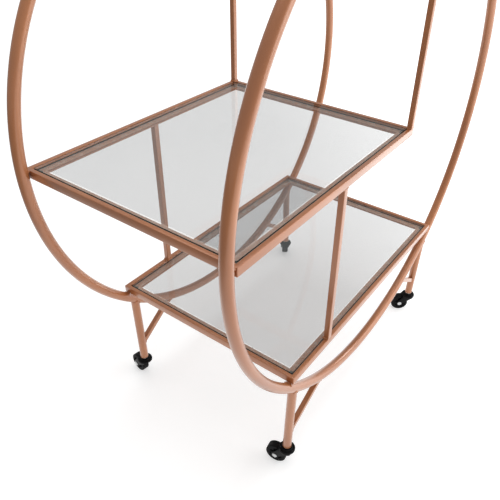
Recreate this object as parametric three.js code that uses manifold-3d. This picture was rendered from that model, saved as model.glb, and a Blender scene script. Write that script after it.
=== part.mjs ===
// Bar cart on wheels: two round-tube hoops joined by three glazed shelves, on four braced legs with
// swivel casters. Millimetres, +Z up, X along the hoops, Y from the front hoop to the rear one. The
// origin is on the floor, under the middle of the cart's box.
import * as THREE from 'three';
import { mergeVertices } from 'three/addons/utils/BufferGeometryUtils.js';
import Module from 'manifold-3d';

const wasm = await Module();
wasm.setup();

// Driving dimensions
const HOOP_RADIUS = 380;
const HOOP_TUBE_RADIUS = 7.9;
const HOOP_SPACING = 330;
const HOOP_FLOOR_CLEARANCE = 94.1;

const RAIL_WIDTH = 6.4;
const RAIL_HEIGHT = 12;
const RAIL_EDGE_ROUND = 1.2;
const RAIL_STANDS_PROUD = 7;
const LEDGE_REACH = 13.1;
const LEDGE_THICKNESS = 3;
const GLASS_THICKNESS = 5;
const GLASS_EDGE_GAP = 1;
const GLASS_BELOW_RAIL = 0.5;
const GLASS_CORNER_RADIUS = 3;
const BUMPER_RADIUS = 3.5;
const BUMPER_THICKNESS = 1;

const SHELF_SEGMENT_HEIGHT = 110.9;
const MIDDLE_SHELF_RISE = 10;
const MIDDLE_SHELF_RIGHT_END = 57;

const MID_POST_SIZE = 9;
const MID_POST_X = -147.5;
const UPPER_POST_SIZE = 8.4;
const POST_CORNER_RADIUS = 1;

const LEG_RADIUS = 7.2;
const LEG_X = 237;
const LEG_FOOT_INSET = 3.5;
const LEG_BORE_DEPTH = 22;
const LEG_OVERRUN = 13;
const BRACE_SIZE = 8.5;
const BRACE_HEAD_X = 153;
const BRACE_FOOT_RISE = 33.7;
const BRACE_CORNER_RADIUS = 1;

const WHEEL_RADIUS = 17.5;
const WHEEL_WIDTH = 13;
const WHEEL_SIDE_RECESS = 1.5;
const WHEEL_HUB_RADIUS = 6;
const WHEEL_RIM_RADIUS = 12.5;
const WHEEL_SHOULDER = 1.3;
const CASTER_TRAIL = 17;
const FORK_PLATE = 2.2;
const FORK_SIDE_GAP = 1;
const FORK_TOP_GAP = 0.8;
const FORK_BOSS_RADIUS = 6;
const FORK_NOSE_REACH = 10.1;
const FORK_HEEL_REACH = 2.4;
const RACEWAY_RADIUS = 13.5;
const RACEWAY_HEIGHT = 3.2;
const RACEWAY_RIM_INSET = 1;
const RACEWAY_RIM_HEIGHT = 1.3;
const RACEWAY_LIP_INSET = 2.2;
const RACEWAY_LIP_HEIGHT = 2.6;
const RACEWAY_CAP_INSET = 4.5;
const AXLE_RADIUS = 2.5;
const AXLE_HEAD_RADIUS = 4.6;
const AXLE_HEAD_HEIGHT = 1.6;
const AXLE_HEAD_RIM = 0.6;
const AXLE_CREST_RADIUS = 2.8;
const STEM_RADIUS = 4;
const STEM_ENGAGEMENT = 20;
const STEM_TIP_CHAMFER = 1;
const STEM_NUT_RADIUS = 6.6;
const STEM_NUT_HEIGHT = 2.5;
const STEM_RIVET_RADIUS = 5.5;
const STEM_RIVET_HEIGHT = 1.5;

const CLEARANCE = 0.3;
const CASTER_HEADINGS = { front_left: 99, front_right: 125, rear_left: 81, rear_right: 36 };

// Derived heights and places
const HOOP_Y = HOOP_SPACING / 2;
const HOOP_OUTER_RADIUS = HOOP_RADIUS + HOOP_TUBE_RADIUS;
const HOOP_CENTRE_HEIGHT = HOOP_FLOOR_CLEARANCE + HOOP_OUTER_RADIUS;
const HOOP_INNER_RADIUS = HOOP_RADIUS - HOOP_TUBE_RADIUS - CLEARANCE;
const SHELF_HALF_DEPTH = HOOP_Y + RAIL_STANDS_PROUD;
const OUTER_SHELF_DROP = HOOP_OUTER_RADIUS - SHELF_SEGMENT_HEIGHT;
const GLASS_UNDERSIDE = GLASS_BELOW_RAIL + GLASS_THICKNESS;
const LEDGE_TOP = GLASS_UNDERSIDE + BUMPER_THICKNESS + 2 * CLEARANCE;
const FORK_CROWN_BOTTOM = 2 * WHEEL_RADIUS + FORK_TOP_GAP;
const FORK_CROWN_TOP = FORK_CROWN_BOTTOM + FORK_PLATE;
const RACEWAY_TOP = FORK_CROWN_TOP + RACEWAY_HEIGHT;
const STEM_NUT_BOTTOM = RACEWAY_TOP + CLEARANCE;
const LEG_BOTTOM = STEM_NUT_BOTTOM + STEM_NUT_HEIGHT + CLEARANCE;
const BRACE_FOOT_HEIGHT = LEG_BOTTOM + BRACE_FOOT_RISE;
const CHEEK_INNER = WHEEL_WIDTH / 2 + FORK_SIDE_GAP;
const CHEEK_OUTER = CHEEK_INNER + FORK_PLATE;
const AXLE_BORE_RADIUS = AXLE_RADIUS + CLEARANCE;
const STEM_BORE_RADIUS = STEM_RADIUS + CLEARANCE;

const HOOP_STEPS = 80;
const TUBE_SIDES = 12;
const ROUND_SIDES = 20;
const BUMPER_SIDES = 16;
const BOSS_STEPS = 6;
const FILLET_STEPS = 3;

// Finishes
const roseGold = new THREE.MeshStandardMaterial({ color: 0xc08a68, roughness: 0.38, metalness: 0.7 });
const clearGlass = new THREE.MeshStandardMaterial({
  color: 0xdfe6e4,
  roughness: 0.05,
  metalness: 0,
  transparent: true,
  opacity: 0.35,
});
const blackRubber = new THREE.MeshStandardMaterial({ color: 0x141414, roughness: 0.75, metalness: 0 });
const blackSteel = new THREE.MeshStandardMaterial({ color: 0x0c0c0d, roughness: 0.4, metalness: 0.3 });
const brightSteel = new THREE.MeshStandardMaterial({ color: 0xc9ccce, roughness: 0.25, metalness: 1 });

// A closed geometry as a solid, and a solid as a geometry
function solidOf(geometry) {
  const bare = geometry.clone();
  bare.deleteAttribute('normal');
  bare.deleteAttribute('uv');
  const merged = mergeVertices(bare, 1e-4);
  return new wasm.Manifold(new wasm.Mesh({
    numProp: 3,
    vertProperties: new Float32Array(merged.attributes.position.array),
    triVerts: new Uint32Array(merged.index.array),
  }));
}

function geometryOf(solid) {
  const mesh = solid.getMesh();
  const geometry = new THREE.BufferGeometry();
  geometry.setAttribute('position', new THREE.BufferAttribute(new Float32Array(mesh.vertProperties), 3));
  geometry.setIndex(new THREE.BufferAttribute(new Uint32Array(mesh.triVerts), 1));
  geometry.computeVertexNormals();
  return geometry;
}

function named(name, geometry, material) {
  const mesh = new THREE.Mesh(geometry, material);
  mesh.name = name;
  return mesh;
}

// Basic shapes
function roundedRectangle(width, depth, radius) {
  const x = width / 2;
  const y = depth / 2;
  const shape = new THREE.Shape();
  shape.moveTo(radius - x, -y);
  shape.lineTo(x - radius, -y);
  shape.absarc(x - radius, radius - y, radius, -Math.PI / 2, 0, false);
  shape.lineTo(x, y - radius);
  shape.absarc(x - radius, y - radius, radius, 0, Math.PI / 2, false);
  shape.lineTo(radius - x, y);
  shape.absarc(radius - x, y - radius, radius, Math.PI / 2, Math.PI, false);
  shape.lineTo(-x, radius - y);
  shape.absarc(radius - x, radius - y, radius, Math.PI, 1.5 * Math.PI, false);
  return shape;
}

function upright(shape, height, curveSegments = FILLET_STEPS) {
  return new THREE.ExtrudeGeometry(shape, { depth: height, bevelEnabled: false, curveSegments });
}

function uprightCylinder(radius, height, sides = ROUND_SIDES) {
  const geometry = new THREE.CylinderGeometry(radius, radius, height, sides);
  return geometry.rotateX(Math.PI / 2).translate(0, 0, height / 2);
}

function turned(profile, sides = ROUND_SIDES) {
  const points = profile.map(([radius, along]) => new THREE.Vector2(radius, along));
  return new THREE.LatheGeometry(points, sides);
}

// Lays a shape that stands along +Z from one point to another, its Y side kept square to the hoops
function laidBetween(standing, from, to) {
  const along = new THREE.Vector3().subVectors(to, from).normalize();
  const side = new THREE.Vector3().crossVectors(new THREE.Vector3(0, 1, 0), along).normalize();
  const across = new THREE.Vector3().crossVectors(along, side);
  const placing = new THREE.Matrix4().makeBasis(side, across, along).setPosition(from);
  return standing.clone().applyMatrix4(placing);
}

// Hoops: closed rings of round tube, upright in the XZ plane
function hoopRing(tubeRadius) {
  const ring = new THREE.TorusGeometry(HOOP_RADIUS, tubeRadius, TUBE_SIDES, HOOP_STEPS);
  return ring.rotateX(Math.PI / 2);
}

function hoop(name, y) {
  const mesh = named(name, hoopRing(HOOP_TUBE_RADIUS), roseGold);
  mesh.position.set(0, y, HOOP_CENTRE_HEIGHT);
  return mesh;
}

// Half the chord that a shelf spans inside the hoops, from its level furthest from their centre
function chordHalf(distanceFromCentre) {
  return Math.sqrt(HOOP_INNER_RADIUS ** 2 - distanceFromCentre ** 2);
}

// Rail section: x runs inward from the outer face, y is height below the top
function railSection() {
  const round = RAIL_EDGE_ROUND;
  const shape = new THREE.Shape();
  shape.moveTo(0, -round);
  shape.lineTo(0, round - RAIL_HEIGHT);
  shape.absarc(round, round - RAIL_HEIGHT, round, Math.PI, 1.5 * Math.PI, false);
  shape.lineTo(RAIL_WIDTH, -RAIL_HEIGHT);
  shape.lineTo(RAIL_WIDTH, -LEDGE_TOP - LEDGE_THICKNESS);
  shape.lineTo(RAIL_WIDTH + LEDGE_REACH, -LEDGE_TOP - LEDGE_THICKNESS);
  shape.lineTo(RAIL_WIDTH + LEDGE_REACH, -LEDGE_TOP);
  shape.lineTo(RAIL_WIDTH, -LEDGE_TOP);
  shape.lineTo(RAIL_WIDTH, 0);
  shape.lineTo(round, 0);
  shape.absarc(round, -round, round, Math.PI / 2, Math.PI, false);
  return shape;
}

// A rail along X with mitred ends, its outer face at y = 0 and its ledge towards +Y
function mitredRail(length) {
  const geometry = upright(railSection(), 1);
  const points = geometry.attributes.position;
  for (let i = 0; i < points.count; i += 1) {
    const inward = points.getX(i);
    const height = points.getY(i);
    const end = points.getZ(i) > 0 ? 1 : -1;
    points.setXYZ(i, end * (length / 2 - inward - CLEARANCE * Math.SQRT1_2), inward, height);
  }
  return geometry;
}

// One shelf: four mitred rails, a pane on the ledges and a bumper under each corner of the pane
function shelf(level, topZ, left, right) {
  const group = new THREE.Group();
  const centreX = (left + right) / 2;
  const length = right - left;
  const depth = 2 * SHELF_HALF_DEPTH;
  group.position.set(centreX, 0, topZ);
  const sides = [
    { side: 'front', x: 0, y: -depth / 2, turn: 0, span: length },
    { side: 'right', x: length / 2, y: 0, turn: Math.PI / 2, span: depth },
    { side: 'rear', x: 0, y: depth / 2, turn: Math.PI, span: length },
    { side: 'left', x: -length / 2, y: 0, turn: -Math.PI / 2, span: depth },
  ];
  for (const { side, x, y, turn, span } of sides) {
    const rail = named(`${level}_${side}_rail`, mitredRail(span), roseGold);
    rail.position.set(x, y, 0);
    rail.rotation.z = turn;
    group.add(rail);
  }

  const inset = RAIL_WIDTH + GLASS_EDGE_GAP;
  const outline = roundedRectangle(length - 2 * inset, depth - 2 * inset, GLASS_CORNER_RADIUS);
  const pane = named(`${level}_glass`, upright(outline, GLASS_THICKNESS), clearGlass);
  pane.position.z = -GLASS_UNDERSIDE;
  group.add(pane);

  const bumperInset = RAIL_WIDTH + LEDGE_REACH / 2;
  for (const [end, ex] of [['left', -1], ['right', 1]]) {
    for (const [face, ey] of [['front', -1], ['rear', 1]]) {
      const disc = uprightCylinder(BUMPER_RADIUS, BUMPER_THICKNESS, BUMPER_SIDES);
      const bumper = named(`${level}_bumper_${face}_${end}`, disc, blackRubber);
      const x = ex * (length / 2 - bumperInset);
      const y = ey * (depth / 2 - bumperInset);
      bumper.position.set(x, y, CLEARANCE - LEDGE_TOP);
      group.add(bumper);
    }
  }
  return group;
}

// Square posts standing on one shelf's rails and reaching the rails above
function post(name, size, centreX, face, bottom, top) {
  const outline = roundedRectangle(size, size, POST_CORNER_RADIUS);
  const mesh = named(name, upright(outline, top - bottom - 2 * CLEARANCE), roseGold);
  mesh.position.set(centreX, face * (SHELF_HALF_DEPTH - size / 2), bottom + CLEARANCE);
  return mesh;
}

// Everything nearer to the hoop's centre than its tube's centre line, and the tube with clearance
const hoopCentre = new THREE.Vector3(0, 0, HOOP_CENTRE_HEIGHT);
const mouthDepth = 4 * HOOP_TUBE_RADIUS;
const hoopMouth = new THREE.CylinderGeometry(HOOP_RADIUS, HOOP_RADIUS, mouthDepth, 2 * HOOP_STEPS);
hoopMouth.translate(hoopCentre.x, hoopCentre.y, hoopCentre.z);
const hoopSaddle = hoopRing(HOOP_TUBE_RADIUS + CLEARANCE);
hoopSaddle.translate(hoopCentre.x, hoopCentre.y, hoopCentre.z);
const hoopCut = solidOf(hoopMouth).add(solidOf(hoopSaddle));

function onHoop(x) {
  return new THREE.Vector3(x, 0, HOOP_CENTRE_HEIGHT - Math.sqrt(HOOP_RADIUS ** 2 - x ** 2));
}

// A leg's axis runs from its foot, a little inside the hoop's plane, up to the hoop's centre line
function legAxisAt(end, face, height) {
  const head = onHoop(end * LEG_X);
  const share = (head.z - height) / (head.z - LEG_BOTTOM);
  return new THREE.Vector3(head.x, -face * LEG_FOOT_INSET * share, height);
}

function legRod(end, face, radius, bottom) {
  const from = legAxisAt(end, face, bottom);
  const head = onHoop(end * LEG_X);
  const overrun = head.clone().sub(from).setLength(LEG_OVERRUN);
  const to = head.add(overrun);
  return laidBetween(uprightCylinder(radius, from.distanceTo(to)), from, to);
}

function legGeometry(end, face) {
  const foot = legAxisAt(end, face, LEG_BOTTOM);
  const below = uprightCylinder(2 * LEG_RADIUS, LEG_BOTTOM).translate(foot.x, foot.y, 0);
  const bore = uprightCylinder(STEM_BORE_RADIUS, LEG_BORE_DEPTH + LEG_BOTTOM).translate(foot.x, foot.y, 0);
  const rod = solidOf(legRod(end, face, LEG_RADIUS, LEG_BOTTOM / 2));
  return geometryOf(rod.subtract(hoopCut).subtract(solidOf(below)).subtract(solidOf(bore)));
}

function braceGeometry(end, face) {
  const from = legAxisAt(end, face, BRACE_FOOT_HEIGHT);
  const head = onHoop(end * BRACE_HEAD_X);
  const outline = roundedRectangle(BRACE_SIZE, BRACE_SIZE, BRACE_CORNER_RADIUS);
  const bar = laidBetween(upright(outline, from.distanceTo(head) + BRACE_SIZE), from, head);
  const leg = solidOf(legRod(end, face, LEG_RADIUS + CLEARANCE, LEG_BOTTOM / 2));
  return geometryOf(solidOf(bar).subtract(hoopCut).subtract(leg));
}

// Casters, drawn with the stem's axis on Z and the wheel trailing towards +X
function forkGeometry() {
  const boss = FORK_BOSS_RADIUS;
  const cheek = new THREE.Shape();
  const reach = CASTER_TRAIL + FORK_HEEL_REACH;
  cheek.moveTo(-FORK_NOSE_REACH, FORK_CROWN_TOP);
  cheek.lineTo(-FORK_NOSE_REACH, FORK_CROWN_BOTTOM - FORK_PLATE);
  cheek.lineTo(CASTER_TRAIL - boss, WHEEL_RADIUS);
  cheek.absarc(CASTER_TRAIL, WHEEL_RADIUS, boss, Math.PI, 2 * Math.PI, false);
  cheek.lineTo(reach, FORK_CROWN_TOP);
  const plate = upright(cheek, FORK_PLATE, BOSS_STEPS).rotateX(Math.PI / 2);
  const near = solidOf(plate.clone().translate(0, -CHEEK_INNER, 0));
  const far = solidOf(plate.clone().translate(0, CHEEK_OUTER, 0));

  const crown = new THREE.BoxGeometry(reach, 2 * CHEEK_OUTER, FORK_PLATE);
  crown.translate(reach / 2, 0, FORK_CROWN_BOTTOM + FORK_PLATE / 2);
  const disc = uprightCylinder(RACEWAY_RADIUS, FORK_PLATE).translate(0, 0, FORK_CROWN_BOTTOM);
  const dome = turned([
    [0, FORK_CROWN_TOP - FORK_PLATE / 2],
    [RACEWAY_RADIUS - RACEWAY_RIM_INSET, FORK_CROWN_TOP - FORK_PLATE / 2],
    [RACEWAY_RADIUS - RACEWAY_RIM_INSET, FORK_CROWN_TOP + RACEWAY_RIM_HEIGHT],
    [RACEWAY_RADIUS - RACEWAY_LIP_INSET, FORK_CROWN_TOP + RACEWAY_LIP_HEIGHT],
    [RACEWAY_RADIUS - RACEWAY_CAP_INSET, RACEWAY_TOP],
    [0, RACEWAY_TOP],
  ]).rotateX(Math.PI / 2);

  const boreLength = 4 * CHEEK_OUTER;
  const axleBore = new THREE.CylinderGeometry(AXLE_BORE_RADIUS, AXLE_BORE_RADIUS, boreLength, ROUND_SIDES);
  axleBore.translate(CASTER_TRAIL, 0, WHEEL_RADIUS);
  const stemBore = uprightCylinder(STEM_BORE_RADIUS, 2 * RACEWAY_TOP);
  const body = near.add(far).add(solidOf(crown)).add(solidOf(disc)).add(solidOf(dome));
  return geometryOf(body.subtract(solidOf(axleBore)).subtract(solidOf(stemBore)));
}

function wheelGeometry() {
  const half = WHEEL_WIDTH / 2;
  const dish = half - WHEEL_SIDE_RECESS;
  return turned([
    [AXLE_BORE_RADIUS, -half],
    [WHEEL_HUB_RADIUS, -half],
    [WHEEL_HUB_RADIUS + WHEEL_SHOULDER, -dish],
    [WHEEL_RIM_RADIUS, -dish],
    [WHEEL_RIM_RADIUS + WHEEL_SHOULDER, -half],
    [WHEEL_RADIUS - WHEEL_SHOULDER, -half],
    [WHEEL_RADIUS, WHEEL_SHOULDER - half],
    [WHEEL_RADIUS, half - WHEEL_SHOULDER],
    [WHEEL_RADIUS - WHEEL_SHOULDER, half],
    [WHEEL_RIM_RADIUS + WHEEL_SHOULDER, half],
    [WHEEL_RIM_RADIUS, dish],
    [WHEEL_HUB_RADIUS + WHEEL_SHOULDER, dish],
    [WHEEL_HUB_RADIUS, half],
    [AXLE_BORE_RADIUS, half],
    [AXLE_BORE_RADIUS, -half],
  ]);
}

function axleGeometry() {
  const seat = CHEEK_OUTER + CLEARANCE;
  const crest = seat + AXLE_HEAD_HEIGHT;
  return turned([
    [0, -crest],
    [AXLE_CREST_RADIUS, -crest],
    [AXLE_HEAD_RADIUS, -seat - AXLE_HEAD_RIM],
    [AXLE_HEAD_RADIUS, -seat],
    [AXLE_RADIUS, -seat],
    [AXLE_RADIUS, seat],
    [AXLE_HEAD_RADIUS, seat],
    [AXLE_HEAD_RADIUS, seat + AXLE_HEAD_RIM],
    [AXLE_CREST_RADIUS, crest],
    [0, crest],
  ]);
}

function stemGeometry() {
  const rivetTop = FORK_CROWN_BOTTOM - CLEARANCE;
  const tip = LEG_BOTTOM + STEM_ENGAGEMENT;
  const shank = turned([
    [0, rivetTop - STEM_RIVET_HEIGHT],
    [STEM_RIVET_RADIUS, rivetTop - STEM_RIVET_HEIGHT],
    [STEM_RIVET_RADIUS, rivetTop],
    [STEM_RADIUS, rivetTop],
    [STEM_RADIUS, tip - STEM_TIP_CHAMFER],
    [STEM_RADIUS - STEM_TIP_CHAMFER, tip],
    [0, tip],
  ]).rotateX(Math.PI / 2);
  const nut = uprightCylinder(STEM_NUT_RADIUS, STEM_NUT_HEIGHT, 6).translate(0, 0, STEM_NUT_BOTTOM);
  return geometryOf(solidOf(shank).add(solidOf(nut)));
}

function caster(corner, x, y) {
  const group = new THREE.Group();
  group.position.set(x, y, 0);
  group.rotation.z = THREE.MathUtils.degToRad(CASTER_HEADINGS[corner]);
  group.add(named(`${corner}_caster_stem`, stemGeometry(), brightSteel));
  group.add(named(`${corner}_caster_fork`, forkGeometry(), blackSteel));
  const wheel = named(`${corner}_wheel`, wheelGeometry(), blackRubber);
  const axle = named(`${corner}_axle`, axleGeometry(), brightSteel);
  for (const piece of [wheel, axle]) {
    piece.position.set(CASTER_TRAIL, 0, WHEEL_RADIUS);
    group.add(piece);
  }
  return group;
}

// The cart
const cart = new THREE.Group();
cart.add(hoop('front_hoop', -HOOP_Y));
cart.add(hoop('rear_hoop', HOOP_Y));

const outerHalf = chordHalf(OUTER_SHELF_DROP);
const lowerTop = HOOP_CENTRE_HEIGHT - OUTER_SHELF_DROP + RAIL_HEIGHT;
const middleTop = HOOP_CENTRE_HEIGHT + MIDDLE_SHELF_RISE;
const upperTop = HOOP_CENTRE_HEIGHT + OUTER_SHELF_DROP;
cart.add(shelf('lower', lowerTop, -outerHalf, outerHalf));
cart.add(shelf('middle', middleTop, -chordHalf(MIDDLE_SHELF_RISE), MIDDLE_SHELF_RIGHT_END));
cart.add(shelf('top', upperTop, -outerHalf, outerHalf));

const upperPostX = MIDDLE_SHELF_RIGHT_END - UPPER_POST_SIZE / 2;
const middleUnderside = middleTop - RAIL_HEIGHT;
const upperUnderside = upperTop - RAIL_HEIGHT;
for (const [side, face] of [['front', -1], ['rear', 1]]) {
  cart.add(post(`${side}_mid_post`, MID_POST_SIZE, MID_POST_X, face, lowerTop, middleUnderside));
  cart.add(post(`${side}_upper_post`, UPPER_POST_SIZE, upperPostX, face, middleTop, upperUnderside));
}

for (const [side, face] of [['front', -1], ['rear', 1]]) {
  for (const [hand, end] of [['left', -1], ['right', 1]]) {
    const corner = `${side}_${hand}`;
    const leg = named(`${corner}_leg`, legGeometry(end, face), roseGold);
    const brace = named(`${corner}_brace`, braceGeometry(end, face), roseGold);
    leg.position.y = face * HOOP_Y;
    brace.position.y = face * HOOP_Y;
    const foot = legAxisAt(end, face, LEG_BOTTOM);
    cart.add(leg, brace, caster(corner, foot.x, face * HOOP_Y + foot.y));
  }
}

// The frame's origin is under the middle of the cart's box
const box = new THREE.Box3().setFromObject(cart, true);
cart.position.y = -(box.min.y + box.max.y) / 2;

const model = new THREE.Group();
model.add(cart);

export default model;
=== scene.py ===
"""Looks of a bar cart on wheels: two painted hoops, three glazed shelves, braced legs and swivel casters.

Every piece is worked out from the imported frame, in metres: X along the hoops, Y from the front hoop to
the rear one, Z up, with the floor at zero.
"""

from math import atan2, cos, hypot, pi, radians, sin, sqrt

import bmesh
import bpy
from bpy.props import FloatProperty, FloatVectorProperty, IntProperty, PointerProperty
from mathutils import Euler, Matrix, Vector


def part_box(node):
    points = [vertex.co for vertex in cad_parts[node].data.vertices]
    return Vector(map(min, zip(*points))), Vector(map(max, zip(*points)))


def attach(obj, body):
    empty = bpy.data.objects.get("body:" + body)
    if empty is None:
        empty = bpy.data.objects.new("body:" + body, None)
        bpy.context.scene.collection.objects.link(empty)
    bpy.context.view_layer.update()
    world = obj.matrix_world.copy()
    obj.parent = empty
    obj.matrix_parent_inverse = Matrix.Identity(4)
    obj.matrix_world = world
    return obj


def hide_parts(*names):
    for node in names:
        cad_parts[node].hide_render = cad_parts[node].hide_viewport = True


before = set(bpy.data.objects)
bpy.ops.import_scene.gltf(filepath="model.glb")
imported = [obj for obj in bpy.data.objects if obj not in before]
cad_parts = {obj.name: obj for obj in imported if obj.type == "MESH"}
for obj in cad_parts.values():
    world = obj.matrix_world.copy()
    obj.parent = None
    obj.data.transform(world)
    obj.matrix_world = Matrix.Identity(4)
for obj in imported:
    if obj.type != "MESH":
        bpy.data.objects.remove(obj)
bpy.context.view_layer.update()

bl_info = {
    "name": "Hoop Bar Cart",
    "version": (1, 0, 0),
    "blender": (4, 5, 0),
    "location": "View3D > Sidebar > Bar Cart",
    "description": "Builds the painted frame, glass shelves and casters of a round bar cart",
    "category": "Add Mesh",
}

MM = 0.001

LEVELS = ("lower", "middle", "top")
CORNERS = ("front_left", "front_right", "rear_left", "rear_right")
POSTS = ("front_mid_post", "rear_mid_post", "front_upper_post", "rear_upper_post")
LOWER, UPPER = 0, 1

# What the frame's boxes can't tell, in metres
BRACE_SIDE = 8.5 * MM
BRACE_HEAD_X = 153 * MM
BRACE_FOOT_HEIGHT = 78 * MM
LEDGE_THICKNESS = 3 * MM
GLASS_EDGE_GAP = 1 * MM
GLASS_CORNER_RADIUS = 3 * MM
FORK_PLATE = 2.2 * MM
RACEWAY_HEIGHT = 3.2 * MM
RACEWAY_RADIUS = 13.5 * MM
FORK_BOSS_RADIUS = 6 * MM
AXLE_PIN_RADIUS = 2.5 * MM
STEM_RADIUS = 4 * MM
NUT_HEIGHT = 2.5 * MM
NUT_RADIUS = 6.6 * MM
RIVET_HEIGHT = 1.5 * MM
RIVET_RADIUS = 5.5 * MM
LEG_WALL = 1.2 * MM
PLUG_DEPTH = 18 * MM

# Across the axle, from the wheel's middle: half the wheel, the room beside it and the cheek
WHEEL_HALF_WIDTH = 6.5 * MM
CHEEK_INNER = 7.5 * MM
CHEEK_OUTER = CHEEK_INNER + FORK_PLATE

# How meshes are finished: vertices nearer than this are one, and wider angles than these are edges
MERGE_DISTANCE = 1e-6
SHARP_ANGLE = radians(38)
EDGE_ANGLE = radians(40)

# How solid finishes take the light
GLASS_IOR = 1.5
DULL_SPECULAR = 0.12

# Where the camera stands, how it is turned, in radians, how its picture is moved on the film, and the
# width of that film in millimetres
CAMERA_PLACE = Vector((-0.7099, -0.4527, 0.8302))
CAMERA_YAW = 0.6087
CAMERA_PITCH = -0.6041
CAMERA_ROLL = 0.0227
CAMERA_SHIFT = (-0.0337, -0.0284)
FILM_WIDTH = 36

# What the lights look at, how far off the side lights stand, and which way each of them lies
LIGHT_TARGET = Vector((0, 0, 0.4))
LIGHT_DISTANCE = 2.4
KEY_DIRECTION = Vector((0.47, -0.84, 0.30))
GLINT_DIRECTION = Vector((0.86, -0.40, 0.30))
TOP_LIGHT_PLACE = Vector((0.2, 0.1, 2.6))
FLOOR_REACH = 9.0


def middle_of(node):
    """The middle of a CAD node's box."""
    low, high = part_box(node)
    return (low + high) / 2


def half_size(node):
    """Half of the size of a CAD node's box along each axis."""
    low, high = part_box(node)
    return (high - low) / 2


HOOP_TUBE = half_size("front_hoop").y
HOOP_RADIUS = half_size("front_hoop").x - HOOP_TUBE
HOOP_CENTRE_HEIGHT = middle_of("front_hoop").z


# ---- settings


LENGTH = {"unit": "LENGTH", "subtype": "DISTANCE"}
COLOUR = {"subtype": "COLOR", "size": 3, "min": 0, "max": 1}


class CartSizes(bpy.types.PropertyGroup):
    """Sizes of the fine details, which the frame leaves open."""

    hoop_steps: IntProperty(
        name="Hoop Steps", description="Straight steps round each hoop", default=288, min=24
    )
    tube_sides: IntProperty(
        name="Tube Sides", description="Flats round the hoops' tube", default=28, min=8
    )
    edge_round: FloatProperty(
        name="Edge Round", description="Radius on the edges of rails and bars",
        default=1.0 * MM, min=0, **LENGTH,
    )
    glass_arris: FloatProperty(
        name="Glass Arris", description="Width of the ground edge round each pane",
        default=1.0 * MM, min=0, **LENGTH,
    )
    bead_radius: FloatProperty(
        name="Weld Bead", description="Radius of the weld beads",
        default=1.5 * MM, min=0, **LENGTH,
    )
    bead_pitch: FloatProperty(
        name="Bead Pitch", description="Distance from one ripple of a weld to the next",
        default=1.6 * MM, min=0.2 * MM, **LENGTH,
    )
    thread_pitch: FloatProperty(
        name="Thread Pitch", description="Pitch of the caster stems' thread",
        default=1.25 * MM, min=0.3 * MM, **LENGTH,
    )
    wheel_ribs: IntProperty(
        name="Wheel Ribs", description="Ribs on each side of a wheel's disc", default=6, min=3
    )


class CartFinishes(bpy.types.PropertyGroup):
    """Colours of the cart."""

    rose_gold: FloatVectorProperty(
        name="Rose Gold", description="Metallic paint of the frame",
        default=(0.455, 0.167, 0.058), **COLOUR,
    )
    rose_gold_deep: FloatVectorProperty(
        name="Deep Rose Gold", description="The same paint where it lies thicker",
        default=(0.385, 0.134, 0.045), **COLOUR,
    )
    glass: FloatVectorProperty(
        name="Glass", description="Tint of the panes",
        default=(0.13, 0.14, 0.143), **COLOUR,
    )
    glass_edge: FloatVectorProperty(
        name="Glass Edge", description="Green of the panes seen through their edge",
        default=(0.005, 0.013, 0.010), **COLOUR,
    )
    black: FloatVectorProperty(
        name="Caster Black", description="Enamel of the forks and colour of the rubber",
        default=(0.0055, 0.0055, 0.006), **COLOUR,
    )
    steel: FloatVectorProperty(
        name="Bright Steel", description="Plated stems, nuts and axles",
        default=(0.56, 0.57, 0.57), **COLOUR,
    )


class CartStudio(bpy.types.PropertyGroup):
    """Lens and lights."""

    focal_length: FloatProperty(
        name="Focal Length", description="Lens of the camera", default=40.19, min=1, unit="CAMERA"
    )
    key_power: FloatProperty(
        name="Key Power", description="Power of the large side light in watts", default=20, min=0
    )
    glint_power: FloatProperty(
        name="Glint Power", description="Power of the small light that draws the edges", default=8, min=0
    )
    top_power: FloatProperty(
        name="Top Power", description="Power of the overhead light in watts", default=30, min=0
    )
    surround: FloatProperty(
        name="Surround", description="Brightness of the room", default=0.50, min=0
    )


# ---- nodes


def add_node(tree, kind, settings=None, inputs=None):
    """Adds a node: its settings first, then a value or a link for each named or numbered socket."""
    node = tree.nodes.new(kind)
    for name, value in (settings or {}).items():
        setattr(node, name, value)
    for key, value in (inputs or {}).items():
        if isinstance(value, Signal):
            tree.links.new(value.socket, node.inputs[key])
        else:
            node.inputs[key].default_value = value
    return node


def maths(operation, reflected=False):
    """An operator between signals and numbers, which adds its Math node."""

    def work(self, other):
        first, second = (other, self) if reflected else (self, other)
        node = add_node(self.tree, "ShaderNodeMath", {"operation": operation}, {0: first, 1: second})
        return Signal(self.tree, node.outputs[0])

    return work


class Signal:
    """A value that changes over a surface, held as the socket of a node."""

    def __init__(self, tree, socket):
        self.tree = tree
        self.socket = socket

    __add__ = maths("ADD")
    __radd__ = maths("ADD", reflected=True)
    __sub__ = maths("SUBTRACT")
    __rsub__ = maths("SUBTRACT", reflected=True)
    __mul__ = maths("MULTIPLY")
    __rmul__ = maths("MULTIPLY", reflected=True)
    __truediv__ = maths("DIVIDE")
    __rtruediv__ = maths("DIVIDE", reflected=True)


class Nodes:
    """A node tree that is being built."""

    def __init__(self, tree):
        self.tree = tree

    def node(self, kind, settings=None, inputs=None, output=0):
        """Any node, and the one of its outputs that is used."""
        made = add_node(self.tree, kind, settings, inputs)
        return Signal(self.tree, made.outputs[output])


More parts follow.
